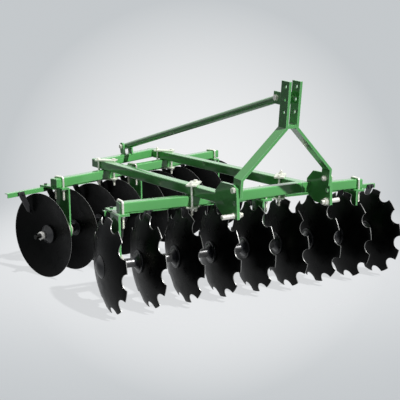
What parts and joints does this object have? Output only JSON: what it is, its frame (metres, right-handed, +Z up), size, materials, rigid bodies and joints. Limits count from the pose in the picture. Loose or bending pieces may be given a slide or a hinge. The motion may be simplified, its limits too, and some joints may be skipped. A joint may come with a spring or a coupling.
{
  "type": "disc harrow",
  "caption": "Three-point mounted offset disc harrow: a gang of notched dished discs in front, a gang of plain dished discs behind, under a square-tube frame with an A-mast and strut.",
  "frame": {"origin": "on the floor under the centre of the overall box", "axes": "+Z up, -Y towards the hitch and tractor, +X to the machine's left"},
  "size_m": [1.8222, 1.9114, 1.0834],
  "materials": {
    "green_paint": "gloss",
    "zinc": "bright zinc",
    "zinc_plate": "yellowish zinc",
    "bearing_grey": "painted casting",
    "scraper_grey": "satin",
    "disc_black": "gloss",
    "spool_black": "gloss",
    "axle_steel": "bright"
  },
  "bodies": {
    "frame": {"rail_right": "green_paint", "rail_left": "green_paint", "front_crossbeam": "green_paint", "rear_crossbeam": "green_paint", "rail_caps": "green_paint", "hitch_plate_right": "green_paint", "hitch_plate_left": "green_paint", "hitch_pins": "zinc", "mast_bar_right": "green_paint", "mast_bar_left": "green_paint", "mast_spacer": "green_paint", "mast_lugs": "green_paint", "mast_bolts": "zinc", "strut": "green_paint", "strut_lugs": "green_paint", "strut_bolts": "zinc", "front_gang_beam": "green_paint", "rear_gang_beam": "green_paint", "gang_beam_caps": "green_paint", "clamp_top_straps": "zinc_plate", "clamp_bottom_straps": "zinc_plate", "clamp_bolts": "zinc", "front_hangers": "green_paint", "rear_hangers": "green_paint", "front_ubolts": "zinc", "rear_ubolts": "zinc", "front_bearings": "bearing_grey", "rear_bearings": "bearing_grey", "front_scraper_bar": "green_paint", "rear_scraper_bar": "green_paint", "front_scrapers": "scraper_grey", "rear_scrapers": "scraper_grey"},
    "front_gang": {"front_axle": "axle_steel", "front_discs": "disc_black", "front_spools": "spool_black", "front_ends": "spool_black", "front_axle_nut": "axle_steel"},
    "rear_gang": {"rear_axle": "axle_steel", "rear_discs": "disc_black", "rear_spools": "spool_black", "rear_ends": "spool_black", "rear_axle_nut": "axle_steel"}
  },
  "joints": [
    {"name": "front_gang_spin", "type": "hinge", "parent": "frame", "child": "front_gang", "pos_m": [0.05155, -0.54307, 0.23], "axis": [0.9912, -0.1323, 0], "continuous": true},
    {"name": "rear_gang_spin", "type": "hinge", "parent": "frame", "child": "rear_gang", "pos_m": [-0.01375, 0.50743, 0.23], "axis": [0.9542, 0.299, 0], "continuous": true}
  ]
}
